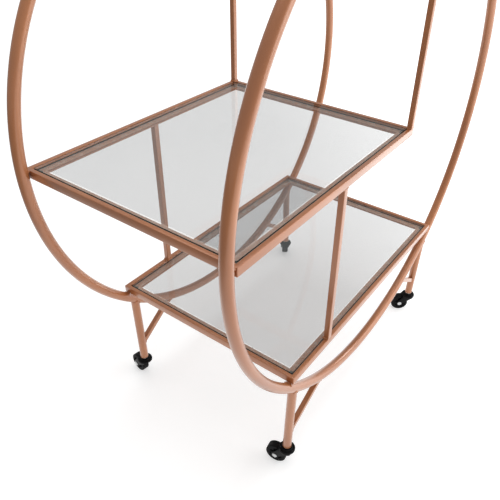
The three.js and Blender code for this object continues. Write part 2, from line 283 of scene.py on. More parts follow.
class Finish(Nodes):
    """A painted, glazed, moulded or plated finish, built from nodes on the piece's own coordinates."""

    def __init__(self, name, stretch=None):
        self.material = bpy.data.materials.new(name)
        self.material.use_nodes = True
        super().__init__(self.material.node_tree)
        self.tree.nodes.clear()
        self.place = self.node("ShaderNodeTexCoord", output="Object")
        if stretch:
            self.place = self.node("ShaderNodeMapping", inputs={"Vector": self.place, "Scale": stretch})

    def noise(self, scale, detail=3.0, roughness=0.5):
        """Cloudy variation with about this many clouds to the metre."""
        return self.node(
            "ShaderNodeTexNoise",
            inputs={"Vector": self.place, "Scale": scale, "Detail": detail, "Roughness": roughness},
        )

    def axis(self, name):
        """The piece's own X, Y or Z."""
        return self.node("ShaderNodeSeparateXYZ", inputs={0: self.place}, output=name)

    def band(self, signal, low, high):
        """Nothing below low, all above high, smooth between them."""
        return self.node(
            "ShaderNodeMapRange",
            {"interpolation_type": "SMOOTHSTEP"},
            {"Value": signal, "From Min": low, "From Max": high},
        )

    def blend(self, share, first, second):
        """From the first colour to the second as the share goes from 0 to 1."""
        ends = [end if isinstance(end, Signal) else (*end, 1) for end in (first, second)]
        return self.node("ShaderNodeMix", {"data_type": "RGBA"}, {0: share, 6: ends[0], 7: ends[1]}, 2)

    def bump(self, height, distance, strength=1.0, under=None):
        """A relief this deep, over another one if given."""
        inputs = {"Height": height, "Distance": distance, "Strength": strength}
        if under is not None:
            inputs["Normal"] = under
        return self.node("ShaderNodeBump", inputs=inputs)

    def principled(self, **sockets):
        """A Principled shader with these sockets."""
        inputs = {name.replace("_", " "): value for name, value in sockets.items()}
        return self.node("ShaderNodeBsdfPrincipled", inputs=inputs)

    def shown(self, shader):
        """The material, ended in this shader."""
        add_node(self.tree, "ShaderNodeOutputMaterial", inputs={"Surface": shader})
        return self.material

    def surface(self, **sockets):
        """The material, ended in one Principled shader with these sockets."""
        return self.shown(self.principled(**sockets))


# ---- finishes


def colour_of(name):
    """A colour of the cart as a plain tuple."""
    return tuple(getattr(bpy.context.scene.cart_finishes, name))


def rose_gold_paint():
    """Satin metallic paint: soft clouds of tone, fine flake, orange peel and light scuffs low down."""
    paint = Finish("rose_gold_paint")
    clouds = paint.noise(7, 2)
    flake = paint.noise(2600, 1)
    peel = paint.noise(420, 2)
    scuffs = paint.band(paint.noise(95, 6, 0.7), 0.60, 0.72)
    low_down = 1 - paint.band(paint.axis("Z"), 0.05, 0.32)
    wear = scuffs * (low_down * 0.5 + 0.12)
    body = paint.blend(paint.band(clouds, 0.35, 0.65), colour_of("rose_gold_deep"), colour_of("rose_gold"))
    flaked = paint.blend(paint.band(flake, 0.55, 0.75) * 0.22, body, (0.62, 0.34, 0.21))
    worn = paint.blend(wear * 0.35, flaked, (0.24, 0.12, 0.075))
    return paint.surface(
        Base_Color=worn,
        Metallic=0.25,
        Roughness=clouds * 0.10 + wear * 0.12 + 0.34,
        Coat_Weight=1.0,
        Coat_Roughness=0.19,
        Coat_IOR=1.5,
        Normal=paint.bump(peel, 0.05 * MM, 0.5, paint.bump(flake, 0.01 * MM, 0.4)),
    )


def weld_paint():
    """The same paint over a weld, a little rougher and deeper."""
    paint = Finish("painted_weld")
    grain = paint.noise(900, 4, 0.6)
    body = paint.blend(paint.band(grain, 0.3, 0.7), colour_of("rose_gold_deep"), colour_of("rose_gold"))
    return paint.surface(
        Base_Color=body,
        Metallic=0.3,
        Roughness=grain * 0.2 + 0.36,
        Coat_Weight=0.6,
        Coat_Roughness=0.25,
        Normal=paint.bump(grain, 0.12 * MM, 0.7),
    )


def clear_glass():
    """Float glass: nearly clear, mirroring more at a glancing view, with faint wiping marks."""
    glass = Finish("clear_glass")
    haze = glass.band(glass.noise(9, 5, 0.6), 0.45, 0.75)
    glancing = glass.node("ShaderNodeLayerWeight", inputs={"Blend": 0.5}, output="Facing")
    square = glancing * glancing
    mirrored = square * square * glancing * 0.96 + 0.04
    clear = glass.principled(
        Base_Color=glass.blend(haze, colour_of("glass"), (0.17, 0.19, 0.20)),
        Roughness=haze * 0.05 + 0.02,
        IOR=GLASS_IOR,
        Alpha=haze * 0.015 + 0.055,
    )
    mirror = glass.principled(
        Base_Color=(0.93, 0.97, 0.96, 1),
        Metallic=1.0,
        Roughness=haze * 0.04 + 0.015,
        Normal=glass.bump(glass.noise(3, 1), 0.3 * MM, 0.1),
    )
    return glass.shown(glass.node("ShaderNodeMixShader", inputs={0: mirrored, 1: clear, 2: mirror}))


def under_glass():
    """The underside of a pane, which holds the grey cast of the whole thickness."""
    under = Finish("under_glass")
    marks = under.band(under.noise(12, 5, 0.6), 0.45, 0.75)
    return under.surface(
        Base_Color=under.blend(marks, colour_of("glass"), (0.19, 0.20, 0.205)),
        Roughness=marks * 0.05 + 0.05,
        IOR=GLASS_IOR,
        Alpha=marks * 0.015 + 0.40,
    )


def bedded_glass():
    """The rim of a pane's underside, milky where it beds on the ledge, and pale beige as a painted sheen that
    lightens the ledge seen through it.
    """
    bed = Finish("bedded_glass")
    spread = bed.band(bed.noise(70, 4, 0.6), 0.35, 0.7)
    return bed.surface(
        # Painted sheen: the pale beige lightens the ledge seen through the pane, which the pane's shadow
        # would darken
        Base_Color=bed.blend(spread, (0.76, 0.69, 0.60), (0.82, 0.77, 0.70)),
        Roughness=spread * 0.1 + 0.35,
        IOR=GLASS_IOR,
        Alpha=spread * 0.06 + 0.27,
    )


def ground_glass():
    """The panes' ground edge, where the green of the glass shows."""
    edge = Finish("glass_edge")
    grind = edge.noise(1400, 3)
    streak = edge.noise(60, 3)
    shade = edge.blend(edge.band(streak, 0.35, 0.7), colour_of("glass_edge"), (0.010, 0.026, 0.019))
    return edge.surface(
        Base_Color=shade,
        Roughness=grind * 0.25 + 0.30,
        Specular_IOR_Level=0.1,
        Alpha=streak * 0.05 + 0.92,
        Normal=edge.bump(grind, 0.03 * MM, 0.5),
    )


def moulded_rubber():
    """Soft black rubber with a fine moulded grain and a trace of dust."""
    rubber = Finish("black_rubber")
    grain = rubber.noise(1500, 4, 0.6)
    dust = rubber.band(rubber.noise(130, 5, 0.65), 0.52, 0.8)
    shade = rubber.blend(dust * 0.3, colour_of("black"), (0.030, 0.028, 0.027))
    return rubber.surface(
        Base_Color=shade,
        Roughness=dust * 0.18 + grain * 0.12 + 0.50,
        Specular_IOR_Level=DULL_SPECULAR,
        Normal=rubber.bump(grain, 0.06 * MM, 0.6),
    )


def black_enamel():
    """Stoved enamel on the pressed forks, with rub marks."""
    enamel = Finish("black_enamel")
    peel = enamel.noise(700, 2)
    rubs = enamel.band(enamel.noise(160, 6, 0.7), 0.60, 0.76)
    shade = enamel.blend(rubs * 0.3, colour_of("black"), (0.040, 0.040, 0.042))
    return enamel.surface(
        Base_Color=shade,
        Roughness=peel * 0.12 + rubs * 0.15 + 0.30,
        Specular_IOR_Level=DULL_SPECULAR,
        Normal=enamel.bump(peel, 0.05 * MM, 0.6),
    )


def plated_steel():
    """Bright zinc plate with drawn lines and a little clouding."""
    steel = Finish("plated_steel", stretch=(1, 1, 9))
    lines = steel.noise(900, 4, 0.7)
    cloud = steel.noise(120, 3)
    shade = steel.blend(steel.band(cloud, 0.35, 0.7), colour_of("steel"), (0.52, 0.52, 0.53))
    return steel.surface(
        Base_Color=shade,
        Metallic=1.0,
        Roughness=lines * 0.14 + cloud * 0.10 + 0.14,
        Normal=steel.bump(lines, 0.02 * MM, 0.6),
    )


def moulded_nylon():
    """Grey-black nylon of the wheel discs and the plugs in the legs."""
    nylon = Finish("moulded_nylon")
    grain = nylon.noise(1100, 3)
    cloud = nylon.noise(150, 3)
    shade = nylon.blend(nylon.band(cloud, 0.35, 0.7), colour_of("black"), (0.012, 0.012, 0.013))
    return nylon.surface(
        Base_Color=shade,
        Roughness=grain * 0.15 + cloud * 0.08 + 0.34,
        Specular_IOR_Level=DULL_SPECULAR,
        Normal=nylon.bump(grain, 0.04 * MM, 0.5),
    )


def grey(level):
    """A plain grey."""
    return (level, level, level)


def studio_floor():
    """A matt sweep, pale, with painted light: a painted glow in its emission towards the right and the far
    side, and painted shade, a darker colour with almost no glow, where it runs out to the left.
    """
    floor = Finish("pale_floor")
    mottle = floor.noise(3, 3)
    x = floor.axis("X")
    y = floor.axis("Y")

    def reach(across, deep, start, end, from_x=0.0, from_y=0.0):
        """From 0 to 1 between two distances from a point, on a heading across and into the picture."""
        return floor.band((x - from_x) * across + (y - from_y) * deep, start, end)

    # Painted glow: the floor's emission grows towards the right and the far side, a painted pool of light
    # that lights the cart and brightens its reflections
    to_right = reach(0.75, -0.66, 0.1, 1.0)
    far_off = reach(0.82, 0.57, 0.8, 2.6) * 0.5
    # Painted shade: towards the left the floor's colour darkens and its glow almost goes out, so the cart's
    # left faces reflect dark
    painted_shade_left = reach(-0.89, 0.45, 0.06, 0.7, from_x=-0.71, from_y=-0.45)
    painted_glow = floor.blend(to_right + far_off, grey(0.41), grey(0.80))
    return floor.surface(
        Base_Color=floor.blend(painted_shade_left, floor.blend(mottle, grey(0.68), grey(0.72)), grey(0.34)),
        Roughness=mottle * 0.1 + 0.75,
        Emission_Color=floor.blend(painted_shade_left, painted_glow, grey(0.01)),
        Emission_Strength=1.25,
    )


MAKERS = {
    "rose_gold": rose_gold_paint,
    "weld": weld_paint,
    "glass": clear_glass,
    "under_glass": under_glass,
    "bedded_glass": bedded_glass,
    "glass_edge": ground_glass,
    "rubber": moulded_rubber,
    "enamel": black_enamel,
    "steel": plated_steel,
    "nylon": moulded_nylon,
    "floor": studio_floor,
}
made_finishes = {}


def finish(name):
    """A finish by name, made when it is first asked for."""
    if name not in made_finishes:
        made_finishes[name] = MAKERS[name]()
    return made_finishes[name]


# ---- meshes


def arc(centre, radius, start, end, steps):
    """Points along an arc, both ends included, as (across, along) pairs."""
    turns = [start + (end - start) * i / steps for i in range(steps + 1)]
    return [(centre[0] + radius * cos(t), centre[1] + radius * sin(t)) for t in turns]


def circle(radius, sides):
    """A round outline."""
    turns = [2 * pi * i / sides for i in range(sides)]
    return [(radius * cos(t), radius * sin(t)) for t in turns]


def rounded_rectangle(width, depth, radius, steps=5):
    """The outline of a rectangle with round corners, going round to the left."""
    points = []
    for quarter, (ex, ey) in enumerate([(1, 1), (-1, 1), (-1, -1), (1, -1)]):
        centre = (ex * (width / 2 - radius), ey * (depth / 2 - radius))
        start = quarter * pi / 2
        points += arc(centre, radius, start, start + pi / 2, steps)
    return points


def skin(bm, rings, loop=False):
    """Joins rings of equally many points with faces. Ends are closed unless the rings make a loop."""
    rows = [[bm.verts.new(point) for point in ring] for ring in rings]
    count = len(rows[0])
    pairs = list(zip(rows, rows[1:])) + ([(rows[-1], rows[0])] if loop else [])
    faces = []
    for first, second in pairs:
        for i in range(count):
            j = (i + 1) % count
            faces.append(bm.faces.new((first[i], first[j], second[j], second[i])))
    if not loop:
        faces.append(bm.faces.new(rows[0]))
        faces.append(bm.faces.new(rows[-1]))
    return faces


def plate(bm, outline, low, high):
    """A flat plate of this outline, given in X and Y, from one height to another."""
    return skin(bm, [[(x, y, z) for x, y in outline] for z in (low, high)])


def basis(start, end):
    """A matrix that lays a shape standing along Z from start towards end, its Y near the cart's."""
    along = (end - start).normalized()
    side = Vector((0, 1, 0)).cross(along).normalized()
    turn = Matrix((side, along.cross(side), along)).transposed().to_4x4()
    return Matrix.Translation(start) @ turn


def link_object(name, data):
    """A new object with this data, in the scene."""
    made = bpy.data.objects.new(name, data)
    bpy.context.scene.collection.objects.link(made)
    return made


def new_piece(name, bm, finishes, edge_round=0.0, edge_steps=3, place=None):
    """A mesh object from a bmesh, its faces turned outwards and its edges rounded, in its final place."""
    bmesh.ops.recalc_face_normals(bm, faces=bm.faces)
    mesh = bpy.data.meshes.new(name)
    bm.to_mesh(mesh)
    bm.free()
    piece = link_object(name, mesh)
    for made in finishes:
        mesh.materials.append(finish(made))
    if edge_round:
        bevel = piece.modifiers.new("Edge round", "BEVEL")
        bevel.width = edge_round
        bevel.segments = edge_steps
        bevel.limit_method = "ANGLE"
        bevel.angle_limit = EDGE_ANGLE
    return settled(piece, place)


def turned_piece(name, profile, made_of, sides, loop=False, place=None):
    """A piece turned from (radius, height) pairs round the Z axis. A loop is a ring with a bore."""
    bm = bmesh.new()
    skin(bm, [[(x, y, height) for x, y in circle(radius, sides)] for radius, height in profile], loop)
    return new_piece(name, bm, [made_of], place=place)


def settled(piece, place=None):
    """The piece with its modifiers worked into a plain mesh, its normals outwards, smooth between edges."""
    bpy.context.view_layer.update()
    shaped = piece.evaluated_get(bpy.context.evaluated_depsgraph_get())
    mesh = bpy.data.meshes.new_from_object(shaped)
    piece.modifiers.clear()
    old = piece.data
    name = piece.name
    piece.data = mesh
    bpy.data.meshes.remove(old)
    mesh.name = name
    if place is not None:
        mesh.transform(place)
    bm = bmesh.new()
    bm.from_mesh(mesh)
    bmesh.ops.remove_doubles(bm, verts=bm.verts, dist=MERGE_DISTANCE)
    bmesh.ops.recalc_face_normals(bm, faces=bm.faces)
    bm.to_mesh(mesh)
    bm.free()
    mesh.shade_smooth()
    mesh.set_sharp_from_angle(angle=SHARP_ANGLE)
    return piece


def join_meshes(pieces, name):
    """Several mesh objects as one."""
    with bpy.context.temp_override(
        active_object=pieces[0], object=pieces[0],
        selected_objects=pieces, selected_editable_objects=pieces,
    ):
        bpy.ops.object.join()
    pieces[0].name = name
    pieces[0].data.name = name
    return pieces[0]


def belongs(piece, body, slot, *nodes):
    """Puts a piece on its body and in place of its CAD nodes. The slot is not used."""
    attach(piece, body)
    if nodes:
        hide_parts(*nodes)


# ---- Geometry Nodes


class ShapeTree(Nodes):
    """A Geometry Nodes tree with named inputs, which ends in one plain shape with its material."""

    def __init__(self, name, inputs):
        super().__init__(bpy.data.node_groups.new(name, "GeometryNodeTree"))
        self.identifiers = {}
        sockets = self.tree.interface
        sockets.new_socket("Geometry", in_out="INPUT", socket_type="NodeSocketGeometry")
        for label, kind in {**inputs, "Material": "Material"}.items():
            socket = sockets.new_socket(label, in_out="INPUT", socket_type="NodeSocket" + kind)
            self.identifiers[label] = socket.identifier
        sockets.new_socket("Geometry", in_out="OUTPUT", socket_type="NodeSocketGeometry")
        self.start = self.tree.nodes.new("NodeGroupInput")

    def given(self, label):
        """The value of a named input."""
        return Signal(self.tree, self.start.outputs[label])

    def ring(self, sides, radius):
        """A circle as a curve, for a path or a section."""
        return self.node(
            "GeometryNodeCurvePrimitiveCircle", {"mode": "RADIUS"}, {"Resolution": sides, "Radius": radius}
        )

    def swept(self, path, section, caps=True):
        """A skin with this section along a path."""
        return self.node(
            "GeometryNodeCurveToMesh",
            inputs={"Curve": path, "Profile Curve": section, "Fill Caps": caps},
        )

    def vector(self, **parts):
        """A vector from its X, Y and Z."""
        return self.node("ShaderNodeCombineXYZ", inputs=parts)

    def ended(self, shape):
        """The tree, ended with this shape made real and given its material."""
        real = self.node("GeometryNodeRealizeInstances", inputs={"Geometry": shape})
        coated = self.node(
            "GeometryNodeSetMaterial", inputs={"Geometry": real, "Material": self.given("Material")}
        )
        add_node(self.tree, "NodeGroupOutput", inputs={0: coated})
        return self

    def grow(self, name, values, made_of, points=(), edges=(), place=None):
        """Runs the tree on bare points and edges with these input values, and gives the plain mesh object."""
        mesh = bpy.data.meshes.new(name + "_start")
        mesh.from_pydata([tuple(point) for point in points], list(edges), [])
        piece = link_object(name, mesh)
        modifier = piece.modifiers.new("Shape", "NODES")
        modifier.node_group = self.tree
        for label, value in {**values, "Material": finish(made_of)}.items():
            modifier[self.identifiers[label]] = value
        return settled(piece, place)


def hoop_tree():
    """A closed ring of round tube, upright in the XZ plane."""
    shape = ShapeTree("Hoop", {
        "Hoop Radius": "Float", "Tube Radius": "Float",
        "Steps": "Int", "Tube Sides": "Int", "Place": "Vector",
    })
    path = shape.ring(shape.given("Steps"), shape.given("Hoop Radius"))
    section = shape.ring(shape.given("Tube Sides"), shape.given("Tube Radius"))
    upright = shape.node("GeometryNodeTransform", inputs={
        "Geometry": shape.swept(path, section, caps=False),
        "Translation": shape.given("Place"),
        "Rotation": Euler((pi / 2, 0, 0)),
    })
    return shape.ended(upright)


def bead_tree():
    """A rippled weld bead along every edge path of the start mesh."""
    shape = ShapeTree("Weld bead", {"Bead Radius": "Float", "Pitch": "Float", "Sides": "Int"})
    path = shape.node("GeometryNodeMeshToCurve", inputs={"Mesh": shape.given("Geometry")})
    fine = shape.node(
        "GeometryNodeResampleCurve", {"mode": "LENGTH"}, {"Curve": path, "Length": shape.given("Pitch") / 4}
    )
    length = shape.node("GeometryNodeSplineParameter", output="Length")
    wave = shape.node(
        "ShaderNodeMath", {"operation": "SINE"}, {0: length / shape.given("Pitch") * (2 * pi)}
    )
    uneven = shape.node("ShaderNodeTexNoise", inputs={"Scale": 260.0, "Detail": 1.0})
    swell = shape.node(
        "GeometryNodeSetCurveRadius", inputs={"Curve": fine, "Radius": 0.86 + wave * 0.10 + uneven * 0.24}
    )
    return shape.ended(shape.swept(swell, shape.ring(shape.given("Sides"), shape.given("Bead Radius"))))


def thread_tree():
    """A screw thread's ridge, wound up the Z axis from the origin."""
    shape = ShapeTree("Screw thread", {"Radius": "Float", "Pitch": "Float", "Turns": "Float"})
    helix = shape.node("GeometryNodeCurveSpiral", inputs={
        "Resolution": 20,
        "Rotations": shape.given("Turns"),
        "Start Radius": shape.given("Radius"),
        "End Radius": shape.given("Radius"),
        "Height": shape.given("Turns") * shape.given("Pitch"),
    })
    return shape.ended(shape.swept(helix, shape.ring(5, shape.given("Pitch") * 0.42)))


def rib_tree():
    """Straight ribs set round the Z axis like spokes, above and below the origin."""
    shape = ShapeTree("Wheel ribs", {
        "Ribs": "Int", "Inner Radius": "Float", "Outer Radius": "Float",
        "Thickness": "Float", "Width": "Float",
    })
    inner = shape.given("Inner Radius")
    outer = shape.given("Outer Radius")
    size = shape.vector(X=outer - inner, Y=shape.given("Thickness"), Z=shape.given("Width"))
    rib = shape.node("GeometryNodeMeshCube", inputs={"Size": size})
    out = shape.vector(X=(outer + inner) / 2)
    moved = shape.node("GeometryNodeTransform", inputs={"Geometry": rib, "Translation": out})
    hub = shape.node("GeometryNodePoints", inputs={"Count": shape.given("Ribs"), "Radius": 1 * MM})
    index = shape.node("GeometryNodeInputIndex")
    turn = shape.vector(Z=index / shape.given("Ribs") * (2 * pi))
    return shape.ended(shape.node(
        "GeometryNodeInstanceOnPoints", inputs={"Points": hub, "Instance": moved, "Rotation": turn}
    ))


def copies_tree():
    """A copy of one small part at every point of the start mesh."""
    shape = ShapeTree("Copies", {"Part": "Object"})
    part = shape.node("GeometryNodeObjectInfo", inputs={"Object": shape.given("Part")}, output="Geometry")
    return shape.ended(shape.node(
        "GeometryNodeInstanceOnPoints", inputs={"Points": shape.given("Geometry"), "Instance": part}
    ))


# ---- the frame's own lines


def on_hoop(x, plane):
    """The point of a hoop's centre line below its middle at this X."""
    return Vector((x, plane, HOOP_CENTRE_HEIGHT - sqrt(HOOP_RADIUS**2 - x**2)))


def hoop_plane(corner):
    """The Y of the hoop that a corner belongs to."""
    return middle_of(corner.split("_")[0] + "_hoop").y


def end_of(corner):
    """-1 at the left end of the cart and 1 at the right end."""
    return -1 if corner.endswith("left") else 1


def leg_line(corner):
    """The foot and the head of a leg's axis. The head is on the hoop's centre line."""
    stem = middle_of(corner + "_caster_stem")
    foot = Vector((stem.x, stem.y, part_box(corner + "_leg")[LOWER].z))
    return foot, on_hoop(stem.x, hoop_plane(corner))


def brace_line(corner):
    """The foot of a brace, on its leg's axis, and its head, on the hoop's centre line."""
    foot, head = leg_line(corner)
    share = (BRACE_FOOT_HEIGHT - foot.z) / (head.z - foot.z)
    return foot.lerp(head, share), on_hoop(end_of(corner) * BRACE_HEAD_X, hoop_plane(corner))


def depth_in_hoop(point, plane):
    """How far a point is inside a hoop's tube; negative outside it."""
    out = hypot(point.x, point.z - HOOP_CENTRE_HEIGHT) - HOOP_RADIUS
    return HOOP_TUBE - hypot(out, point.y - plane)


def depth_in_rod(point, start, end, radius):
    """How far a point is inside a round rod; negative outside it."""
    along = (end - start).normalized()
    return radius - ((point - start) - along * (point - start).dot(along)).length


def meeting_line(outline, placing, length, depth):
    """Where a bar of this outline, laid by a matrix from its Z = 0, first enters another solid."""
    steps = 160
    line = []
    for x, y in outline:
        points = [placing @ Vector((x, y, length * i / steps)) for i in range(steps + 1)]
        inside = [i for i, point in enumerate(points) if depth(point) >= 0]
        if not inside:
            raise RuntimeError("a bar never reaches the tube that it is welded to")
        line.append(points[inside[0]])
    return line


def leg_radius(corner):
    """The outer radius of a leg's tube."""
    return half_size(corner + "_leg").x


# ---- pieces


class BuildHoops(bpy.types.Operator):
    """Rolls the two hoops of round tube"""

    bl_idname = "bar_cart.hoops"
    bl_label = "Hoops"

    def execute(self, context):
        sizes = context.scene.cart_sizes
        tree = hoop_tree()
        for node in ("front_hoop", "rear_hoop"):
            values = {
                "Hoop Radius": HOOP_RADIUS,
                "Tube Radius": HOOP_TUBE,
                "Steps": sizes.hoop_steps,
                "Tube Sides": sizes.tube_sides,
                "Place": tuple(middle_of(node)),
            }
            belongs(tree.grow(node + "_tube", values, "rose_gold"), "root", "rose_gold", node)
        return {"FINISHED"}


def rail_section(level):
    """(Inward, height) pairs round the rails' section: the upright bar and the ledge under the glass."""
    low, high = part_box(level + "_front_rail")
    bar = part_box(level + "_glass")[LOWER].y - low.y - GLASS_EDGE_GAP
    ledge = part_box(level + "_bumper_front_left")[LOWER].z
    reach = high.y - low.y
    return [
        (0, high.z),
        (0, low.z),
        (bar, low.z),
        (bar, ledge - LEDGE_THICKNESS),
        (reach, ledge - LEDGE_THICKNESS),
        (reach, ledge),
        (bar, ledge),
        (bar, high.z),
    ]


class BuildShelfFrames(bpy.types.Operator):
    """Mitres four rails into one welded frame for each shelf"""

    bl_idname = "bar_cart.shelf_frames"
    bl_label = "Shelf Frames"

    def execute(self, context):
        for level in LEVELS:
            sides = [f"{level}_{side}_rail" for side in ("front", "right", "rear", "left")]
            front, right, rear, left = (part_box(side) for side in sides)
            xs = (left[LOWER].x, right[UPPER].x)
            ys = (front[LOWER].y, rear[UPPER].y)
            rings = []
            for ex, ey in ((0, 0), (1, 0), (1, 1), (0, 1)):
                corner = Vector((xs[ex], ys[ey]))
                inward = Vector((1 - 2 * ex, 1 - 2 * ey))
                rings.append([(*(corner + inward * across), z) for across, z in rail_section(level)])
            bm = bmesh.new()
            skin(bm, rings, loop=True)
            piece = new_piece(level + "_shelf_frame", bm, ["rose_gold"], context.scene.cart_sizes.edge_round)
            belongs(piece, "root", "rose_gold", *sides)
        return {"FINISHED"}


def ledge_reach(level):
    """How far a shelf's ledge reaches in under its pane."""
    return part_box(level + "_front_rail")[UPPER].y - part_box(level + "_glass")[LOWER].y


class BuildPanes(bpy.types.Operator):
    """Cuts the panes, with round corners and ground edges"""

    bl_idname = "bar_cart.panes"
    bl_label = "Glass Panes"

    def execute(self, context):
        arris = context.scene.cart_sizes.glass_arris
        finishes = ["glass", "glass_edge", "under_glass", "bedded_glass"]
        sharpest = 0.2 * MM
        corner_steps = 8
        for level in LEVELS:
            middle = middle_of(level + "_glass")
            half = half_size(level + "_glass")
            rings = []
            for inset, height in (
                (ledge_reach(level), -half.z), (arris, -half.z),
                (0, arris - half.z), (0, half.z - arris), (arris, half.z),
            ):
                radius = max(GLASS_CORNER_RADIUS - inset, sharpest)
                outline = rounded_rectangle(2 * (half.x - inset), 2 * (half.y - inset), radius, corner_steps)
                rings.append([(x, y, height) for x, y in outline])
            bm = bmesh.new()
            faces = skin(bm, rings)
            around = len(rings[0])
            # The bed band over the ledge carries the bedded glass and its painted sheen
            bed, lower_arris, _, upper_arris = (faces[i * around:(i + 1) * around] for i in range(4))
            underside = faces[4 * around:4 * around + 1]
            for made_of, part in (
                ("bedded_glass", bed), ("glass_edge", lower_arris + upper_arris), ("under_glass", underside)
            ):
                for face in part:
                    face.material_index = finishes.index(made_of)
            piece = new_piece(level + "_pane", bm, finishes, place=Matrix.Translation(middle))
            belongs(piece, "root", "glass", level + "_glass")
        return {"FINISHED"}


def copy_to(places, name, part, made_of):
    """Copies of a small part at these places as one piece. The part itself is taken away."""
    piece = copies_tree().grow(name, {"Part": part}, made_of, places)
    bpy.data.objects.remove(part)
    return piece


class BuildPads(bpy.types.Operator):
    """Sets a rubber pad with a domed rim under each corner of each pane"""

    bl_idname = "bar_cart.pads"
    bl_label = "Glass Pads"

    def execute(self, context):
        nodes = [
            f"{level}_bumper_{face}_{hand}"
            for level in LEVELS for face in ("front", "rear") for hand in ("left", "right")
        ]
        half = half_size(nodes[0])
        radius = half.x
        height = 2 * half.z
        rim = height / 2
        profile = [(radius - 0.1 * height, 0), (radius, 0.2 * height)]
        profile += arc((radius - rim, height - rim), rim, 0, pi / 2, 4)
        profile += [(0.45 * radius, height), (0.35 * radius, 0.85 * height)]
        pad = turned_piece("pad", profile, "rubber", sides=28)
        feet = [middle_of(node) - Vector((0, 0, half.z)) for node in nodes]
        belongs(copy_to(feet, "glass_pads", pad, "rubber"), "root", "bumper", *nodes)
        return {"FINISHED"}


class BuildPosts(bpy.types.Operator):
    """Stands the square posts between the shelves"""

    bl_idname = "bar_cart.posts"
    bl_label = "Posts"

    def execute(self, context):
        seat = 0.3 * MM
        for node in POSTS:
            low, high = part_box(node)
            outline = rounded_rectangle(high.x - low.x, high.y - low.y, context.scene.cart_sizes.edge_round)
            bm = bmesh.new()
            plate(bm, outline, low.z - seat, high.z + seat)
            middle = middle_of(node)
            place = Matrix.Translation((middle.x, middle.y, 0))
            belongs(new_piece(node + "_bar", bm, ["rose_gold"], place=place), "root", "rose_gold", node)
        return {"FINISHED"}


class BuildLegs(bpy.types.Operator):
    """Welds up the round legs, open at the foot, and their square braces"""

    bl_idname = "bar_cart.legs"
    bl_label = "Legs and Braces"

    def execute(self, context):
        lip = 0.3 * MM
        outline = rounded_rectangle(BRACE_SIDE, BRACE_SIDE, context.scene.cart_sizes.edge_round)
        for corner in CORNERS:
            foot, head = leg_line(corner)
            radius = leg_radius(corner)
            bore = radius - LEG_WALL
            depth = 2 * half_size(corner + "_caster_stem").z
            length = (head - foot).length
            profile = [(bore, depth), (bore, lip), (bore + lip, 0), (radius - lip, 0), (radius, lip),
                       (radius, length / 2), (radius, length)]
            leg = turned_piece(corner + "_leg_tube", profile, "rose_gold", sides=32, place=basis(foot, head))
            belongs(leg, "root", "rose_gold", corner + "_leg")

            start, end = brace_line(corner)
            bm = bmesh.new()
            plate(bm, outline, 0, (end - start).length)
            brace = new_piece(corner + "_brace_bar", bm, ["rose_gold"], place=basis(start, end))
            belongs(brace, "root", "rose_gold", corner + "_brace")
        return {"FINISHED"}


class BuildPlugs(bpy.types.Operator):
    """Presses a nylon plug into the foot of each leg, round its caster's stem"""

    bl_idname = "bar_cart.plugs"
    bl_label = "Leg Plugs"

    def execute(self, context):
        bore = leg_radius(CORNERS[0]) - LEG_WALL
        outer = bore - 0.1 * MM
        inner = STEM_RADIUS + 0.5 * MM
        bottom = 0.4 * MM
        profile = [(inner, bottom), (inner, PLUG_DEPTH), (outer, PLUG_DEPTH), (outer, 0.9 * MM),
                   (bore - 0.5 * MM, bottom)]
        plug = turned_piece("plug", profile, "nylon", sides=28, loop=True)
        feet = [leg_line(corner)[0] for corner in CORNERS]
        belongs(copy_to(feet, "leg_plugs", plug, "nylon"), "root", "caster_black")
        return {"FINISHED"}


def leg_welds(corner):
    """The closed lines where a leg and its brace meet the hoop, and the brace its leg."""
    plane = hoop_plane(corner)
    foot, head = leg_line(corner)
    start, end = brace_line(corner)
    square = rounded_rectangle(BRACE_SIDE, BRACE_SIDE, 1.2 * MM, 3)
    radius = leg_radius(corner)

    def in_hoop(point):
        return depth_in_hoop(point, plane)

    def in_leg(point):
        return depth_in_rod(point, foot, head, radius)

    yield meeting_line(circle(radius, 32), basis(foot, head), (head - foot).length, in_hoop)
    yield meeting_line(square, basis(start, end), (end - start).length, in_hoop)
    yield meeting_line(square, basis(end, start), (end - start).length, in_leg)


def post_welds(node):
    """Three sides of a post's foot and head. The outer side is ground flush with the rails."""
    low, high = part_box(node)
    inner, outer = (high.y, low.y) if low.y < 0 else (low.y, high.y)
    near_outer = outer * 0.999
    for z in (low.z, high.z):
        corners = ((low.x, near_outer), (low.x, inner), (high.x, inner), (high.x, near_outer))
        yield [Vector((x, y, z)) for x, y in corners]


def corner_weld(level, face, end):
    """The short line across a hoop's inner side where a shelf's corner is welded to it."""
    low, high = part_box(f"{level}_{face}_rail")
    plane = middle_of(face + "_hoop").y
    contact = high.z if high.z - HOOP_CENTRE_HEIGHT > HOOP_CENTRE_HEIGHT - low.z else low.z
    half_width = 0.72 * HOOP_TUBE
    half_steps = 4
    line = []
    for i in range(2 * half_steps + 1):
        across = (i / half_steps - 1) * half_width
        inner = HOOP_RADIUS - sqrt(HOOP_TUBE**2 - across**2)
        out = sqrt(inner**2 - (contact - HOOP_CENTRE_HEIGHT) ** 2)
        line.append(Vector((end * out, plane + across, contact)))
    return line


